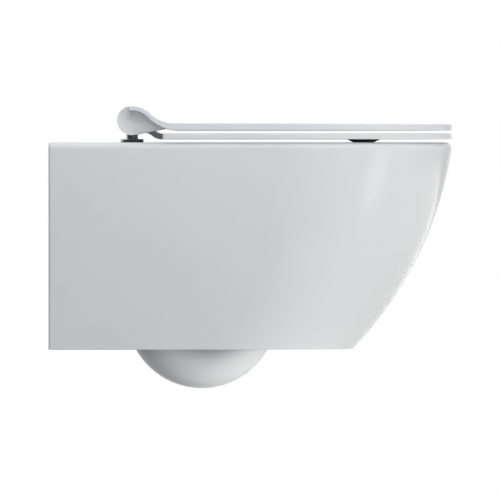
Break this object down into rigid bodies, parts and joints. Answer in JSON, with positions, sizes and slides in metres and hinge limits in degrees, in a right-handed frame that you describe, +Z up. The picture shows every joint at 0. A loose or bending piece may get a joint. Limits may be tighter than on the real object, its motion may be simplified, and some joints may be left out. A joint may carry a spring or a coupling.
{
  "type": "wall hung toilet",
  "caption": "Wall hung toilet: glazed ceramic pan with rimless bowl and trap, thin seat ring and wrap-over lid on soft-closing hinges with chrome posts.",
  "frame": {"origin": "on the wall plane, midway between the two wall bolts", "axes": "+Z up, +Y into the wall, so the front points along -Y; +X to the right of someone who faces the toilet"},
  "size_m": [0.36, 0.55, 0.3855],
  "materials": {
    "glaze": "glossy white sanitary glaze",
    "seat_plastic": "glossy white thermoset",
    "chrome": "polished",
    "black_rubber": "matt",
    "bright_steel": "turned stainless steel",
    "grey_plastic": "moulded"
  },
  "bodies": {
    "fixed": {"pan": "glaze", "pan_back": "glaze", "pan_bowl": "glaze", "pan_trap": "glaze", "pan_flush_way": "glaze", "hinge_block_left": "seat_plastic", "hinge_block_right": "seat_plastic", "hinge_disc_left": "chrome", "hinge_disc_right": "chrome", "hinge_post_left": "chrome", "hinge_post_right": "chrome", "hinge_gasket_left": "black_rubber", "hinge_gasket_right": "black_rubber", "hinge_plug_left": "black_rubber", "hinge_plug_right": "black_rubber", "hinge_bolt_left": "bright_steel", "hinge_bolt_right": "bright_steel", "hinge_cone_nut_left": "bright_steel", "hinge_cone_nut_right": "bright_steel", "hinge_grub_screws": "bright_steel", "wall_fixing_washers": "bright_steel", "wall_fixing_nuts": "bright_steel", "lid_damper_shaft": "bright_steel", "seat_damper_shaft": "bright_steel", "lid_pivot_pin": "bright_steel", "seat_pivot_pin": "bright_steel", "wall_fixing_sleeves": "grey_plastic"},
    "seat": {"seat_ring": "seat_plastic", "seat_bumper_left": "black_rubber", "seat_bumper_right": "black_rubber", "seat_damper_body": "grey_plastic", "seat_pivot_bush": "grey_plastic"},
    "lid": {"lid": "seat_plastic", "lid_damper_body": "grey_plastic", "lid_pivot_bush": "grey_plastic"}
  },
  "joints": [
    {"name": "seat_hinge", "type": "hinge", "parent": "fixed", "child": "seat", "pos_m": [0, -0.113, 0.1147], "axis": [-1, 0, 0], "range_deg": [0, 95]},
    {"name": "lid_hinge", "type": "hinge", "parent": "seat", "child": "lid", "pos_m": [0, -0.113, 0.1147], "axis": [-1, 0, 0], "range_deg": [0, 98]}
  ]
}
